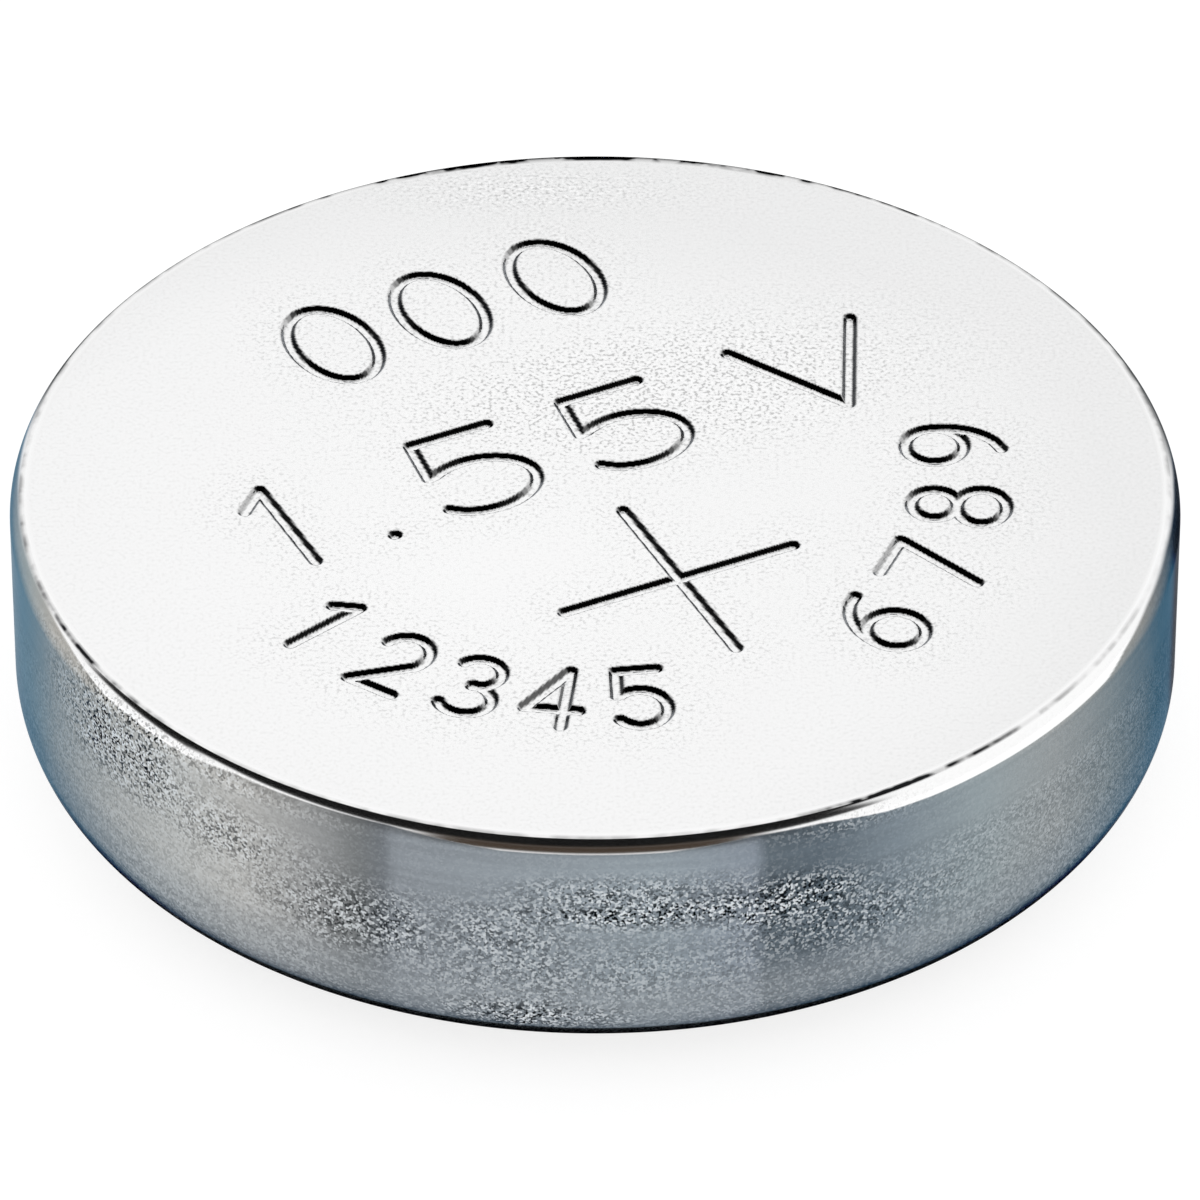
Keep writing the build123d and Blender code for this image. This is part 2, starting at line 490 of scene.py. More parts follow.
# the side of the can, by degrees round it from the front towards +X and millimetres up it
wall = {
    # tone round the wall: (degrees, colour); its grey is partly the duller drawn finish and partly painted
    # shade, and its lighter and darker bands are painted reflections
    "tones": [(-180, "#9B9C9D"), (-150, "#A7A7A6"), (-128, "#8F9294"), (-110, "#A3A4A3"), (-90, "#9DA1A3"),
              (-76, "#A6ACAB"), (-66, "#B8B4AD"), (-44, "#BEBEBB"), (-36, "#BBBAB7"), (-28, "#9B9C9C"),
              (-23, "#777A7B"), (-20.4, "#70757A"), (-19.2, "#8A9096"), (6, "#909AA1"), (15.2, "#87909A"),
              (16.4, "#616B73"), (22, "#606B74"), (30, "#7D8890"), (40, "#969FA2"), (50, "#A4A5A3"),
              (60, "#9E9E9A"), (68, "#95938F"), (76, "#74787B"), (84, "#404E5A"), (96, "#83888B"),
              (110, "#A4A5A4"), (132, "#929597"), (155, "#A2A3A3"), (180, "#9B9C9D")],
    # a dark rub mark: degrees, height, half widths of both, share, colour; and where its soft edge lies
    "rub": (14, 1.50, 13, 0.17, 0.32, "#3A424A"),
    "rubEdge": (0.3, 1.2),
    # low on the wall the painted reflection bands are weaker
    "toneFade": (0.70, 1.10),
    "lowTone": "#92989D",
    "lowShare": 0.6,
    # degrees round the bend where the burnished edge, which also carries a painted highlight, gives way to
    # the drawn wall: (degrees, turn)
    "burnishAndHighlightEnd": [(-180, 72), (-112, 68), (-88, 43), (-70, 43), (-63, 52), (-55, 68), (-43, 70), (-37, 58),
                   (-20, 57), (-9, 70.5), (7, 70.5), (15, 60), (22, 62), (29, 76), (34, 79), (59, 79),
                   (63, 64), (70, 51), (79, 44), (90, 50), (97, 64), (104, 76), (180, 76)],
    # how softly it gives way, in degrees of turn: in front, what the sides add, and where that sets in
    "burnishSoft": (1.2, 6, (56, 80)),
    # how dark the painted shade line at the crease is: (degrees, share)
    "creaseShare": [(-180, 3.0), (-164, 3.0), (-154, 1.0), (-135, 0.35), (-100, 0.3), (-80, 0.5), (-62, 0.9),
                    (-55, 0.8), (-45, 0.3), (20, 0.3), (27, 1.0), (33, 1.4), (37, 0.9), (45, 0.6), (58, 0.25),
                    (66, 0.3), (70, 0.1), (80, 0.1), (100, 0.4), (140, 0.6), (164, 1.8), (180, 3.0)],
    # how wide that line is: (degrees, width)
    "creaseWidth": [(-180, 0.050), (-165, 0.050), (-150, 0.030), (-135, 0.024), (130, 0.024), (150, 0.034),
                    (165, 0.050), (180, 0.050)],
    "creaseCore": 0.17,  # share of that width that is fully dark
    # how white the burnished bend is, a white that is partly a painted highlight, and how white the face is
    # where they meet, by the share of the reach from the whitest place of the face
    "burnishShade": 0.973,
    "ringShade": [(0.0, 0.965), (0.62, 0.930), (0.875, 0.863)],
    # painted reflection, in the colour the plate takes seen at a low angle: the blue and dark ones stand in
    # for a bluish table and dark surroundings; the wall, its dark streak, the rolled lip, the bend in front
    # and at the back; with the degrees between which each holds, and the lip's heights
    "sheen": "#6A98B6",
    "darkSheen": ("#08304E", (77, 82, 100, 106)),
    "rollSheen": ("#0A3C5C", (-80, -62, 180, 200), (0.52, 0.74)),
    "bendSheen": brightSheen,
    "backSheen": ("#3C4042", (80, 100, 250, 265)),
    # pitted patches: degrees, height, half widths of both, strength; and where they end, in half widths
    "pits": [(-53, 1.66, 15, 0.46, 1.4), (-40, 1.52, 16, 0.36, 0.8), (-24, 1.20, 14, 0.38, 1.0),
             (-10, 1.24, 13, 0.36, 0.65), (4, 1.60, 16, 0.22, 0.9), (18, 1.42, 10, 0.26, 1.5),
             (8, 1.46, 22, 0.14, 1.6), (25, 1.16, 17, 0.34, 0.8), (-5, 0.60, 12, 0.20, 1.1),
             (-2, 1.00, 30, 0.50, 0.5), (-47, 1.94, 26, 0.12, 0.7), (25, 1.95, 11, 0.10, 0.4),
             (-50, 1.97, 13, 0.11, 1.3),
             (95, 1.35, 18, 0.40, 0.5), (140, 1.10, 24, 0.45, 0.6), (-105, 1.20, 20, 0.45, 0.5),
             (-160, 1.45, 24, 0.35, 0.6)],
    "pitEdge": 1.25,
    "plainPits": (0.06, 0.24),  # elsewhere: above and below the smooth upper zone's lower edge
    "smoothEdge": (1.48, 1.60),
    "pitTurn": (46, 56),  # they set in between these turns round the bend
    "openPits": 0.45,  # share of them that the burnish left open
    "burnishRough": 0.13,
    "rollEnd": (0.50, 0.70),  # heights between which the burnished roll gives way to the dull wall
}


def within(degrees, limits):
    # share of a zone round the can: none at the outer limits, full between the inner ones
    angle = (degrees - limits[0]) % 360 + limits[0]
    return blend(angle, limits[0], limits[1]) * (1 - blend(angle, limits[2], limits[3]))


def tinted(tones, code, share):
    # tones taken some share of the way to one colour, vertex by vertex
    share = share[:, None]
    return tones * (1 - share) + np.array(hexToLinear(code)) * share


def wallTones(degrees, z):
    angles, codes = zip(*wall["tones"])
    colours = np.array([hexToLinear(code) for code in codes])
    tones = np.stack([np.interp(degrees, angles, colours[:, i]) for i in range(4)], 1)
    tones = tinted(tones, wall["lowTone"], wall["lowShare"] * (1 - blend(z, *wall["toneFade"])))
    angle, height, angleHalf, heightHalf, share, code = wall["rub"]
    off = np.hypot((degrees - angle) / angleHalf, (z - height) / heightHalf)
    return tinted(tones, code, share * (1 - blend(off, *wall["rubEdge"])))


def wallPits(degrees, z):
    smooth = blend(z, *wall["smoothEdge"])
    pits = wall["plainPits"][0] * smooth + wall["plainPits"][1] * (1 - smooth)
    for angle, height, angleHalf, heightHalf, strength in wall["pits"]:
        off = np.hypot((degrees - angle) / angleHalf, (z - height) / heightHalf)
        pits = np.maximum(pits, strength * (1 - blend(off, 0.0, wall["pitEdge"])))
    return pits


def wallSheen(degrees, z, drawn):
    # painted reflection: the blue and dark edge tints go from the bend to the wall with the burnish
    code, limits, heights = wall["rollSheen"]
    low = within(degrees, limits) * (1 - blend(z, *heights))
    sheen = tinted(np.array(hexToLinear(wall["sheen"])), code, low)
    code, limits = wall["darkSheen"]
    sheen = tinted(sheen, code, within(degrees, limits))
    code, limits = wall["backSheen"]
    bend = tinted(np.array(hexToLinear(wall["bendSheen"])), code, within(degrees, limits))
    return sheen * drawn[:, None] + bend * (1 - drawn[:, None])


def finishWall(piece):
    # tone, pitting, burnish and sheen of the side, stored on its vertices
    mesh = piece.data
    places = np.zeros(len(mesh.vertices) * 3, np.float32)
    mesh.vertices.foreach_get("co", places)
    x, y, z = places.reshape(-1, 3).T / mm
    degrees = np.degrees(np.arctan2(x, -y))
    radius = np.hypot(x, y)
    # the wall's tone holds painted shade and painted reflection bands
    addAttribute(mesh, "wallTone", wallTones(degrees, z), "FLOAT_COLOR")
    # how far round the bend each vertex lies, against where the burnish and its painted highlight end there
    crease = math.radians(can["crease"])
    bendRadius = can["radius"] - can["cornerRadius"]
    bendZ = can["top"] - can["cornerRadius"] * math.cos(crease)
    turn = np.degrees(np.arctan2(radius - bendRadius, z - bendZ))
    end = np.interp(degrees, *zip(*wall["burnishAndHighlightEnd"]))
    least, more, sides = wall["burnishSoft"]
    soft = least + more * blend(np.abs(degrees), *sides)
    drawn = blend(turn, end - soft, end + soft)
    addAttribute(mesh, "drawn", drawn)
    left = wall["openPits"] + (1 - wall["openPits"]) * drawn
    addAttribute(mesh, "pitted", wallPits(degrees, z) * blend(turn, *wall["pitTurn"]) * left)
    # painted shade: a dark line along the crease, darker and wider at the back
    creaseRadius = bendRadius + can["cornerRadius"] * math.sin(crease)
    fromCrease = np.hypot(radius - creaseRadius, z - can["top"])
    share = np.interp(degrees, *zip(*wall["creaseShare"]))
    width = np.interp(degrees, *zip(*wall["creaseWidth"]))
    addAttribute(mesh, "paintedCreaseShade", share * (1 - blend(fromCrease / width, wall["creaseCore"], 1.0)))
    # the first ring of vertices, on the flat, takes up the tone that the face has there
    burnished = np.full(len(x), wall["burnishShade"])
    ring = slice(can["segments"])
    fromWhitestPlace = np.hypot(x[ring] - whitestPlace["centre"][0], y[ring] - whitestPlace["centre"][1])
    burnished[ring] = np.interp(fromWhitestPlace / whitestPlace["reach"], *zip(*wall["ringShade"]))
    addAttribute(mesh, "burnished", burnished)
    addAttribute(mesh, "sheen", wallSheen(degrees, z, drawn), "FLOAT_COLOR")


def coinedNickel():
    # nickel plate pressed flat by the coining die: nearly white, a soft mirror with a fine satin
    # (a real die leaves finer satin and specks, drawn here as coarse as they need to be to show)
    material, tree, shader, place = newMaterial("coinedNickelPlate", brightPlate)
    grain = addNode(tree, "ShaderNodeTexNoise", {"Vector": place, "Scale": perSize(0.03), "Detail": 2.0})
    mottle = addNode(tree, "ShaderNodeTexNoise", {"Vector": place, "Scale": perSize(0.027), "Detail": 1.0})
    cloud = addNode(tree, "ShaderNodeTexNoise", {"Vector": place, "Scale": perSize(2.2), "Detail": 2.0})
    grooveShade = addNode(tree, "ShaderNodeAttribute", attribute_name="grooveShade").outputs["Fac"]
    near = addNode(tree, "ShaderNodeAttribute", attribute_name="nearMark").outputs["Fac"]
    # the plate is whitest on one side of the middle, and greyer away from there
    whitest = tuple(c * mm for c in (*whitestPlace["centre"], can["top"]))
    apart = addNode(tree, "ShaderNodeVectorMath", {0: place, 1: whitest}, operation="DISTANCE")
    apartShare = addNode(tree, "ShaderNodeMapRange", {"Value": apart, "From Max": whitestPlace["reach"] * mm})
    greyShare = addNode(tree, "ShaderNodeMix", {0: 0.2, 2: apartShare, 3: cloud})
    plate = addNode(tree, "ShaderNodeValToRGB", {"Fac": greyShare},
                    stops=[(0.1, "#FBFBFB"), (0.6, "#F7F7F7"), (0.8, "#EFEFEF")])
    # the plate crawls a little where a stroke displaced it, which leaves grey and white specks
    crawl = addNode(tree, "ShaderNodeMapRange", {"Value": near, "To Min": 0.13, "To Max": 0.68}, clamp=False)
    for stops, code in (([(0.32, 1.0), (0.46, 0.0)], "#CACACA"), ([(0.54, 0.0), (0.66, 1.0)], "#FFFFFF")):
        speck = addNode(tree, "ShaderNodeValToRGB", {"Fac": mottle}, stops=stops)
        share = addNode(tree, "ShaderNodeMath", {0: speck, 1: crawl}, operation="MULTIPLY")
        plate = addNode(tree, "ShaderNodeMix", {0: share, 6: plate, 7: hexToLinear(code)}, data_type="RGBA")
    # painted shade: the groove walls are darkened, most on those that face the front
    dark = addNode(tree, "ShaderNodeMix", {0: grooveShade, 6: plate, 7: hexToLinear("#121212")}, data_type="RGBA")
    satin = addNode(tree, "ShaderNodeMapRange", {"Value": grain, "To Min": 0.12, "To Max": 0.19})
    rough = addNode(tree, "ShaderNodeMix", {0: grooveShade, 2: satin, 3: 0.14})
    bump = addNode(tree, "ShaderNodeBump", {"Height": grain, "Strength": 0.10, "Distance": 0.004 * mm})
    feed(tree, shader, {"Base Color": dark, "Roughness": rough, "Normal": bump})
    return material


def drawnNickel():
    # the plate down the side: rubbed bright on the bend by the die and partly a painted highlight there, then
    # grey and dull where the sheet was drawn and ironed, a grey that is partly painted shade, with painted
    # reflection bands and fine pits in patches
    material, tree, shader, place = newMaterial("drawnNickelPlate", {"Metallic": 1.0})
    drawn, pitted, paintedCreaseShade = [addNode(tree, "ShaderNodeAttribute", attribute_name=name).outputs["Fac"]
                              for name in ("drawn", "pitted", "paintedCreaseShade")]
    tone, burnished, sheen = [addNode(tree, "ShaderNodeAttribute", attribute_name=name).outputs["Color"]
                              for name in ("wallTone", "burnished", "sheen")]
    # each pit or bright speck has its own depth; they are finer than these cells of 0.016 mm on a real
    # can, and are drawn as coarse as they need to be to show
    cells = addNode(tree, "ShaderNodeTexVoronoi", {"Vector": place, "Scale": perSize(0.016)})
    grain = addNode(tree, "ShaderNodeSeparateColor", {"Color": cells.outputs["Color"]}).outputs["Red"]
    patch = addNode(tree, "ShaderNodeTexNoise", {"Vector": place, "Scale": perSize(0.45), "Detail": 3.0})
    # faint lines run round it where the drawing ring rubbed, here 0.05 mm apart so that they show
    flat = addNode(tree, "ShaderNodeVectorMath", {0: place, 1: (0.03, 0.03, 1.0)}, operation="MULTIPLY")
    lines = addNode(tree, "ShaderNodeTexNoise", {"Vector": flat, "Scale": perSize(0.05), "Detail": 2.0})
    streak = addNode(tree, "ShaderNodeMapRange", {"Value": lines, "From Min": 0.3, "From Max": 0.7,
                                                  "To Min": 0.93, "To Max": 1.07})
    streaked = addNode(tree, "ShaderNodeVectorMath", {0: tone, "Scale": streak}, operation="SCALE")
    # the bright bend, partly a painted highlight, gives way to the wall's tone
    plate = addNode(tree, "ShaderNodeMix", {0: drawn, 6: burnished, 7: streaked}, data_type="RGBA")
    uneven = addNode(tree, "ShaderNodeMapRange", {"Value": patch, "From Min": 0.35, "From Max": 0.65,
                                                  "To Min": 0.7, "To Max": 1.1})
    pits = addNode(tree, "ShaderNodeMath", {0: pitted, 1: uneven}, operation="MULTIPLY", use_clamp=True)
    # dark pits, and between them bright specks that stand out less
    for strength, stops, code in ((1.0, [(0.18, 1.0), (0.44, 0.0)], "#090B0D"),
                                  (0.74, [(0.64, 0.0), (0.84, 1.0)], "#F0F4F7")):
        spots = addNode(tree, "ShaderNodeValToRGB", {"Fac": grain}, stops=stops)
        depth = addNode(tree, "ShaderNodeMath", {0: spots, 1: strength}, operation="MULTIPLY")
        share = addNode(tree, "ShaderNodeMath", {0: depth, 1: pits}, operation="MULTIPLY")
        plate = addNode(tree, "ShaderNodeMix", {0: share, 6: plate, 7: hexToLinear(code)}, data_type="RGBA")
    # painted shade: a thin broken dark line where the flat meets the bend
    breaks = addNode(tree, "ShaderNodeTexNoise", {"Vector": place, "Scale": perSize(0.18), "Detail": 2.0})
    broken = addNode(tree, "ShaderNodeMapRange", {"Value": breaks, "From Min": 0.40, "From Max": 0.60,
                                                  "To Min": 0.3, "To Max": 1.3})
    line = addNode(tree, "ShaderNodeMath", {0: paintedCreaseShade, 1: broken}, operation="MULTIPLY")
    lined = addNode(tree, "ShaderNodeMix", {0: line, 6: plate, 7: hexToLinear("#1C1D1F")}, data_type="RGBA")
    dull = addNode(tree, "ShaderNodeMapRange", {"Value": pits, "To Min": 0.30, "To Max": 0.42})
    # the closing die burnished the roll too
    low, high = wall["rollEnd"]
    split = addNode(tree, "ShaderNodeSeparateXYZ", {"Vector": place})
    above = addNode(tree, "ShaderNodeMapRange", {"Value": split.outputs["Z"], "From Min": low * mm,
                                                 "From Max": high * mm})
    rollDull = addNode(tree, "ShaderNodeMix", {0: above, 2: wall["burnishRough"], 3: dull})
    rough = addNode(tree, "ShaderNodeMix", {0: drawn, 2: wall["burnishRough"], 3: rollDull})
    relief = addNode(tree, "ShaderNodeMath", {0: drawn, 1: 0.4}, operation="MULTIPLY")
    bump = addNode(tree, "ShaderNodeBump", {"Height": grain, "Strength": relief, "Distance": 0.004 * mm})
    # the edge tint carries painted reflections of a bluish table and dark surroundings
    feed(tree, shader, {"Base Color": lined, "Specular Tint": sheen, "Roughness": rough, "Normal": bump})
    return material


canPiece, wallFaces = buildCan()
finishWall(canPiece)
print("can", len(canPiece.data.vertices), "vertices", len(canPiece.data.polygons), "faces")
canPiece.data.materials.append(coinedNickel())
canPiece.data.materials.append(drawnNickel())
for polygon in canPiece.data.polygons[:wallFaces]:
    polygon.material_index = 1
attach(canPiece, "root")
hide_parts("positive_can")

# the cap: a drawn cup with a hemmed rim, its shoulder held by the crimp
cap = {
    "sheet": 0.15,
    "crownRadius": 2.91,
    "shoulderRadius": 3.01,
    "skirtRadius": 3.43,
    "height": 1.09,
    "hemGap": 0.03,
    "ledgeRise": 0.13,
    "bends": [0.30, 0.12, 0.20],  # of the crown, and of the shoulder where it starts and ends
    "flatRing": 0.1,  # a ring this far inside the first bend keeps the contact flat
    "segments": 360,
}

# the gasket: what the crimp leaves between can and cap
gasket = {
    "squeeze": 0.17,
    "foot": 0.12,
    "leg": 0.15,
    "legLength": 0.26,
    "reveal": 0.20,
    "beadBend": 0.05,
    "hemTurn": 171,  # degrees round the hem where the gasket's inner leg leaves it
    "segments": 360,
}


def buildCap():
    shoulderZ = rolledLip()["tipIn"].y + gasket["squeeze"]
    hemBend = cap["hemGap"] / 2
    foldZ = cap["height"] - cap["sheet"] - hemBend
    corners = [(0, 0), (cap["crownRadius"], 0), (cap["shoulderRadius"], shoulderZ),
               (cap["skirtRadius"], shoulderZ), (cap["skirtRadius"], foldZ)]
    outside, inside = bentSheet(corners, cap["bends"], cap["sheet"])
    outside.insert(1, (cap["crownRadius"] - cap["bends"][0] - cap["flatRing"], 0))
    foldCentre = (cap["skirtRadius"] + hemBend, foldZ)
    ledge = shoulderZ + cap["ledgeRise"]
    slit = arc(foldCentre, hemBend, 180, 0, 8)[1:] + [(cap["skirtRadius"] + cap["hemGap"], ledge)]
    ply = [(foldCentre[0] + hemBend + cap["sheet"], ledge)]
    ply += arc(foldCentre, hemBend + cap["sheet"], 0, 180, 24)
    section = outside + slit + ply + inside[::-1][1:]
    piece = meshObject("cap_shell", *spinSection(section, cap["segments"]))
    piece.data.shade_smooth()
    return piece, shoulderZ, ledge


def buildGasket(shoulderZ, ledge):
    lip = rolledLip()
    bore = can["radius"] - can["sheet"]
    top = cap["height"] + gasket["foot"]
    tipMiddle = (lip["tipIn"] + lip["tipOut"]) / 2
    section = [(bore, top)] + arc(lip["centre"], lip["inner"], 0, -can["crimpTurn"], 20)
    section += [tuple(lip["tipIn"]), tuple(tipMiddle)]
    # the bead that shows between lip and cap
    beadRadius = lip["tipOut"].x - gasket["reveal"]
    bend = gasket["beadBend"]
    section += arc((beadRadius + bend, tipMiddle.y + bend), bend, 270, 180, 8) + [(beadRadius, shoulderZ)]
    # then round the cap's shoulder, under the ledge of its hem and over the fold
    edge = cap["bends"][2]
    section += arc((cap["skirtRadius"] - edge, shoulderZ + edge), edge, 270, 360, 10)
    section += [(cap["skirtRadius"], ledge), (cap["skirtRadius"] + cap["hemGap"] + cap["sheet"], ledge)]
    hemBend = cap["hemGap"] / 2
    hemCentre = (cap["skirtRadius"] + hemBend, cap["height"] - cap["sheet"] - hemBend)
    section += arc(hemCentre, hemBend + cap["sheet"], 0, gasket["hemTurn"], 20)
    legIn = cap["skirtRadius"] - cap["sheet"] - gasket["leg"]
    section += [(legIn, top - gasket["legLength"]), (legIn, top)]
    piece = meshObject("gasket_ring", *spinSection(section, gasket["segments"], closed=True))
    piece.data.shade_smooth()
    return piece


def cladNickel():
    # nickel side of the clad cap sheet: brighter than the can wall, with fine turned rub marks
    material, tree, shader, place = newMaterial("cladNickelSheet", brightPlate)
    grain = addNode(tree, "ShaderNodeTexNoise", {"Vector": place, "Scale": perSize(0.035), "Detail": 2.0})
    cloud = addNode(tree, "ShaderNodeTexNoise", {"Vector": place, "Scale": perSize(1.1), "Detail": 3.0})
    tone = addNode(tree, "ShaderNodeValToRGB", {"Fac": cloud}, stops=[(0.3, "#CFCFCD"), (0.7, "#DEDEDD")])
    # rings left by the deep-drawing punch, here about 0.06 mm apart so that they show
    split = addNode(tree, "ShaderNodeSeparateXYZ", {"Vector": place})
    flat = addNode(tree, "ShaderNodeCombineXYZ", {"X": split.outputs["X"], "Y": split.outputs["Y"]})
    radius = addNode(tree, "ShaderNodeVectorMath", {0: flat}, operation="LENGTH")
    ringPlace = addNode(tree, "ShaderNodeCombineXYZ", {"X": radius, "Y": split.outputs["Z"]})
    rings = addNode(tree, "ShaderNodeTexNoise", {"Vector": ringPlace, "Scale": perSize(0.06), "Detail": 2.0})
    height = addNode(tree, "ShaderNodeMix", {0: 0.35, 2: grain, 3: rings})
    rough = addNode(tree, "ShaderNodeMapRange", {"Value": height, "To Min": 0.18, "To Max": 0.36})
    bump = addNode(tree, "ShaderNodeBump", {"Height": height, "Strength": 0.2, "Distance": 0.005 * mm})
    feed(tree, shader, {"Base Color": tone, "Roughness": rough, "Normal": bump})
    return material


def mouldedNylon():
    # natural nylon, squeezed until it is a little shiny: milky and slightly see-through at its edge
    material, tree, shader, place = newMaterial("mouldedNylon", {
        "IOR": 1.53, "Subsurface Weight": 0.25, "Subsurface Scale": 0.1 * mm})
    cloud = addNode(tree, "ShaderNodeTexNoise", {"Vector": place, "Scale": perSize(0.5), "Detail": 3.0})
    grain = addNode(tree, "ShaderNodeTexNoise", {"Vector": place, "Scale": perSize(0.04), "Detail": 2.0})
    tone = addNode(tree, "ShaderNodeValToRGB", {"Fac": cloud}, stops=[(0.3, "#D8D3C3"), (0.7, "#E6E2D6")])
    rough = addNode(tree, "ShaderNodeMapRange", {"Value": grain, "To Min": 0.32, "To Max": 0.5})
    bump = addNode(tree, "ShaderNodeBump", {"Height": grain, "Strength": 0.2, "Distance": 0.006 * mm})
    feed(tree, shader, {"Base Color": tone, "Roughness": rough, "Normal": bump})
    return material


capPiece, shoulderZ, ledge = buildCap()
capPiece.data.materials.append(cladNickel())
gasketPiece = buildGasket(shoulderZ, ledge)
gasketPiece.data.materials.append(mouldedNylon())
for piece, node, slot in ((capPiece, "negative_cap", "cap_steel"), (gasketPiece, "sealing_gasket", "nylon")):
    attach(piece, "root")
    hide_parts(node)
print("cap and gasket", len(capPiece.data.polygons), len(gasketPiece.data.polygons), "faces")

# what is sealed inside keeps its CAD meshes: name of the material, its two tones, size of the mottle and
# of the grain, least and most roughness, height of the bumps, and how metallic it is
insideFinishes = {
    "cathode_pellet": ("pressedSilverOxide", "#24242A", "#34343A", 0.6, 0.02, 0.55, 0.8, 0.008, 0.0),
    "cathode_support_ring": ("platedRingSteel", "#A5A39D", "#BDBBB5", 0.8, 0.03, 0.25, 0.4, 0.003, 1.0),
    "cellulose_film": ("castCellulose", "#D5C48E", "#E3D6A8", 1.5, 0.05, 0.12, 0.25, 0.002, 0.0),
    "grafted_membrane": ("graftedMembrane", "#DCD8CA", "#EAE7DD", 0.7, 0.03, 0.4, 0.6, 0.003, 0.0),
    "absorber_pad": ("pressedFibrePad", "#D6D2C8", "#EEECE6", 0.12, 0.015, 0.8, 0.95, 0.02, 0.0),
    "zinc_anode": ("zincPowderGel", "#4A4C50", "#8C8F94", 0.07, 0.02, 0.25, 0.6, 0.015, 0.5),
}


def insideMaterial(name, low, high, mottle, grainSize, smoothest, roughest, relief, metallic):
    # a pressed, cast or plated surface: clouded in two tones, with its own grain
    material, tree, shader, place = newMaterial(name, {"Metallic": metallic})
    cloud = addNode(tree, "ShaderNodeTexNoise", {"Vector": place, "Scale": perSize(mottle), "Detail": 4.0})
    grain = addNode(tree, "ShaderNodeTexNoise", {"Vector": place, "Scale": perSize(grainSize), "Detail": 2.0})
    tone = addNode(tree, "ShaderNodeValToRGB", {"Fac": cloud}, stops=[(0.35, low), (0.65, high)])
    rough = addNode(tree, "ShaderNodeMapRange", {"Value": grain, "To Min": smoothest, "To Max": roughest})
    bump = addNode(tree, "ShaderNodeBump", {"Height": grain, "Strength": 0.5, "Distance": relief * mm})
    feed(tree, shader, {"Base Color": tone, "Roughness": rough, "Normal": bump})
    return material


for name, finish in insideFinishes.items():
    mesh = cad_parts[name].data
    mesh.materials.clear()
    mesh.materials.append(insideMaterial(*finish))
print("inside finishes", len(insideFinishes))

# the stage: a pale floor, and a dark ring on it under the crimp that only reflections see, a painted shadow
# for the metal to mirror
stage = {
    "floorHalf": 5000,
    "floorGlow": 0.76,
    "shadeRadii": (3.25, 3.83),
    "shadeLift": 0.001,  # keeps the ring clear of the floor
    "shadeSegments": 180,
}
white = (1, 1, 1, 1)


def emptyTree(owner):
    owner.use_nodes = True
    owner.node_tree.nodes.clear()
    return owner.node_tree


def showFromAbove(tree, surface):
    # the stage is clear when it is looked at from below
    clear = addNode(tree, "ShaderNodeBsdfTransparent")
    side = addNode(tree, "ShaderNodeNewGeometry")
    mixed = addNode(tree, "ShaderNodeMixShader", {0: side.outputs["Backfacing"], 1: surface, 2: clear})
    addNode(tree, "ShaderNodeOutputMaterial", {"Surface": mixed})


def paleFloor():
    # matt card that takes the cell's shadow, and glows to where it is looked at, so that it is nearly white
    material = bpy.data.materials.new("paleFloor")
    tree = emptyTree(material)
    ray = addNode(tree, "ShaderNodeLightPath").outputs
    seen = addNode(tree, "ShaderNodeMath", {0: ray["Is Camera Ray"], 1: ray["Is Glossy Ray"]},
                   operation="MAXIMUM")
    seenAll = addNode(tree, "ShaderNodeMath", {0: seen, 1: ray["Is Transmission Ray"]}, operation="MAXIMUM")
    glow = addNode(tree, "ShaderNodeMath", {0: seenAll, 1: stage["floorGlow"]}, operation="MULTIPLY")
    emission = addNode(tree, "ShaderNodeEmission", {"Color": white, "Strength": glow})
    matte = addNode(tree, "ShaderNodeBsdfDiffuse", {"Color": hexToLinear("#A0A0A0")})
    both = addNode(tree, "ShaderNodeAddShader", {0: emission, 1: matte})
    showFromAbove(tree, both)
    return material


def paintedShadowCoat():
    # painted shadow: a black, dull ring that stands in for the shade under the crimp
    material = bpy.data.materials.new("underShade")
    tree = emptyTree(material)
    shadowBlack = addNode(tree, "ShaderNodeBsdfDiffuse", {"Color": hexToLinear("#101216")})
    showFromAbove(tree, shadowBlack)
    return material


half = stage["floorHalf"]
corners = [(-half, -half, 0), (half, -half, 0), (half, half, 0), (-half, half, 0)]
floorMesh = meshObject("floor", corners, [(0, 1, 2, 3)])
floorMesh.data.materials.append(paleFloor())
shadeSection = [(radius, stage["shadeLift"]) for radius in stage["shadeRadii"]]
shadeRing = meshObject("underShade", *spinSection(shadeSection, stage["shadeSegments"]))
shadeRing.data.materials.append(paintedShadowCoat())
shadeRing.visible_camera = False
shadeRing.visible_diffuse = False
shadeRing.visible_shadow = False
print("stage")

# the studio that the metal mirrors: a white tent with dark flags, each between two elevations and two
# azimuths in degrees, azimuth from the front towards +X, and with a soft edge
studio = {
    # high in front of the cell, where only the top of the can's bend mirrors it
    "opening": {"up": (26, 72), "round": (-112, 55), "soft": 5, "colour": "#020202"},
    "rightFlag": {"up": (44, 72), "round": (48, 78), "soft": 5, "colour": "#020202"},
    "leftFlag": {"up": (18, 40), "round": (-108, -78), "soft": 5, "colour": "#020202"},
    # the warm dark edge of the table in front, under the opening
    "tableEdge": {"up": (4, 29), "round": (-32, 30), "soft": 10, "colour": "#40352B"},
}


def flagShare(tree, flag, upness, roundness):
    # 1 inside the flag and 0 outside it
    half = math.radians(flag["soft"]) / 2
    share = 1.0
    for angle, limits in ((upness, flag["up"]), (roundness, flag["round"])):
        for limit, before in zip(limits, (0.0, 1.0)):
            edge = addNode(tree, "ShaderNodeMapRange", {
                "Value": angle,
                "From Min": math.radians(limit) - half,
                "From Max": math.radians(limit) + half,
                "To Min": before,
                "To Max": 1.0 - before,
            }, interpolation_type="SMOOTHSTEP")
            share = addNode(tree, "ShaderNodeMath", {0: edge, 1: share}, operation="MULTIPLY")
    return share


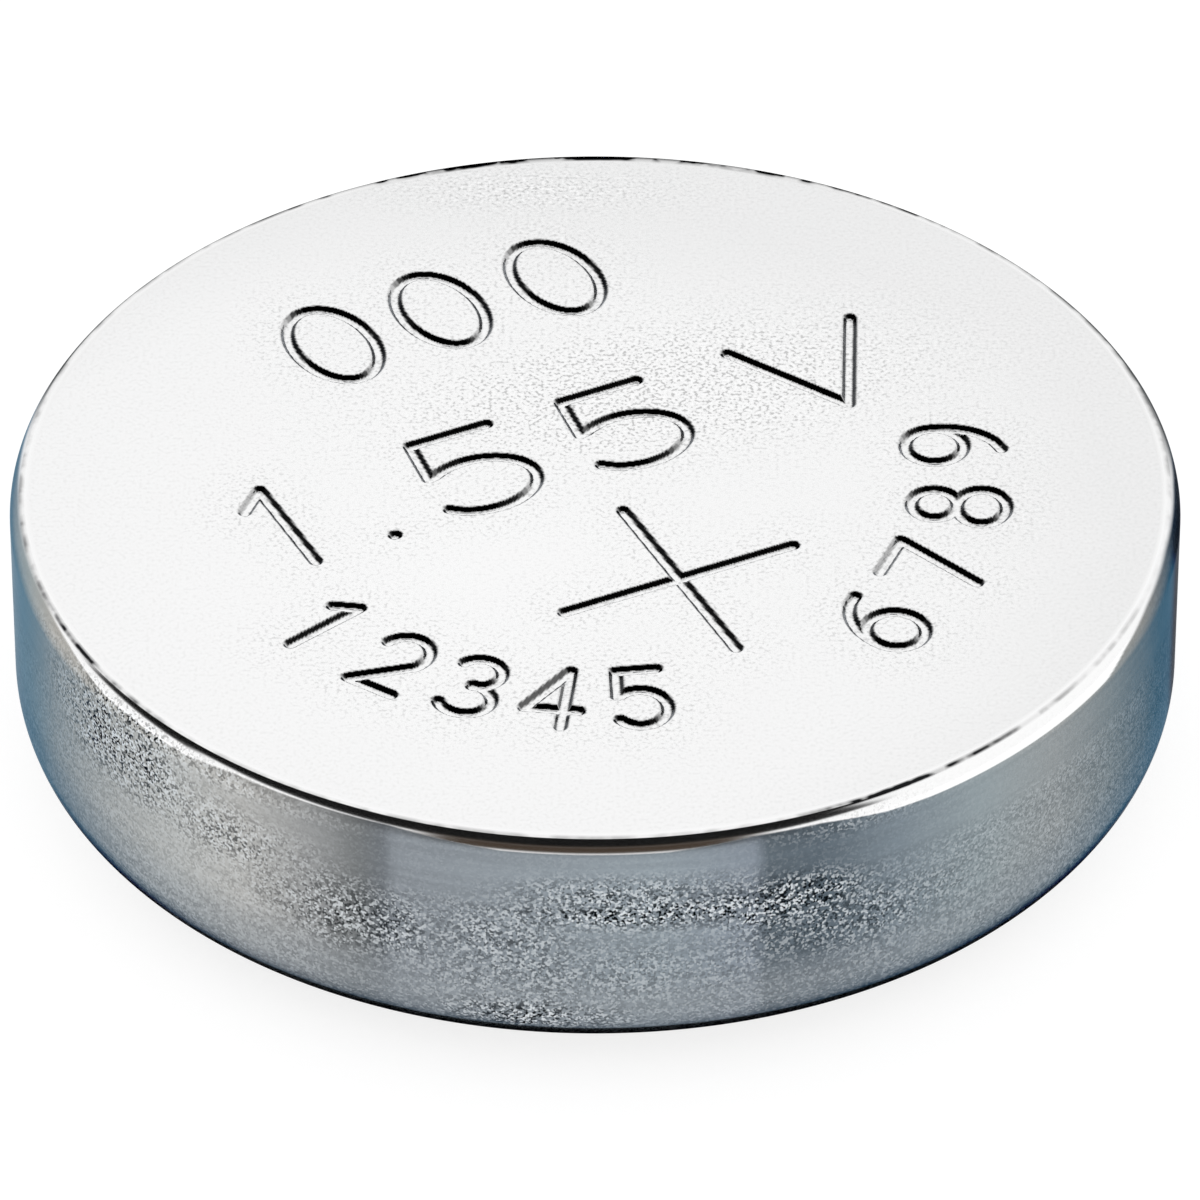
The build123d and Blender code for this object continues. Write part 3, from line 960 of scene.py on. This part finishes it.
def studioWorld():
    world = bpy.data.worlds.new("studio")
    tree = emptyTree(world)
    way = addNode(tree, "ShaderNodeTexCoord").outputs["Generated"]
    split = addNode(tree, "ShaderNodeSeparateXYZ", {"Vector": way})
    upness = addNode(tree, "ShaderNodeMath", {0: split.outputs["Z"]}, operation="ARCSINE")
    away = addNode(tree, "ShaderNodeMath", {0: split.outputs["Y"], 1: -1.0}, operation="MULTIPLY")
    roundness = addNode(tree, "ShaderNodeMath", {0: split.outputs["X"], 1: away}, operation="ARCTAN2")
    colour = white
    for flag in studio.values():
        share = flagShare(tree, flag, upness, roundness)
        colour = addNode(tree, "ShaderNodeMix", {0: share, 6: colour, 7: hexToLinear(flag["colour"])},
                         data_type="RGBA")
    # only mirrors see the flags; everything else is lit by plain white
    ray = addNode(tree, "ShaderNodeLightPath")
    seen = addNode(tree, "ShaderNodeMix", {0: ray.outputs["Is Glossy Ray"], 6: white, 7: colour},
                   data_type="RGBA")
    back = addNode(tree, "ShaderNodeBackground", {"Color": seen, "Strength": 1.0})
    addNode(tree, "ShaderNodeOutputWorld", {"Surface": back})
    return world


bpy.context.scene.world = studioWorld()
print("studio", len(studio), "flags")

# camera: a long lens from the front, 37 degrees above the table
view = {
    "aim": (0.0327, 0.0088, 1.05),
    "distance": 72.18,
    "elevation": 36.946,
    "lens": 318.33,
    "sensor": 36,
    "clip": (1, 100000),  # nearest and farthest that it sees
}


def addCamera():
    data = bpy.data.cameras.new("camera")
    data.lens = view["lens"]
    data.sensor_width = view["sensor"]
    data.clip_start, data.clip_end = (limit * mm for limit in view["clip"])
    camera = bpy.data.objects.new("camera", data)
    bpy.context.scene.collection.objects.link(camera)
    tilt = math.radians(view["elevation"])
    offset = Vector((0, -math.cos(tilt), math.sin(tilt))) * view["distance"]
    camera.location = (Vector(view["aim"]) + offset) * mm
    camera.rotation_euler = (math.pi / 2 - tilt, 0, 0)
    return camera


bpy.context.scene.camera = addCamera()
bpy.context.scene.view_settings.view_transform = "Standard"
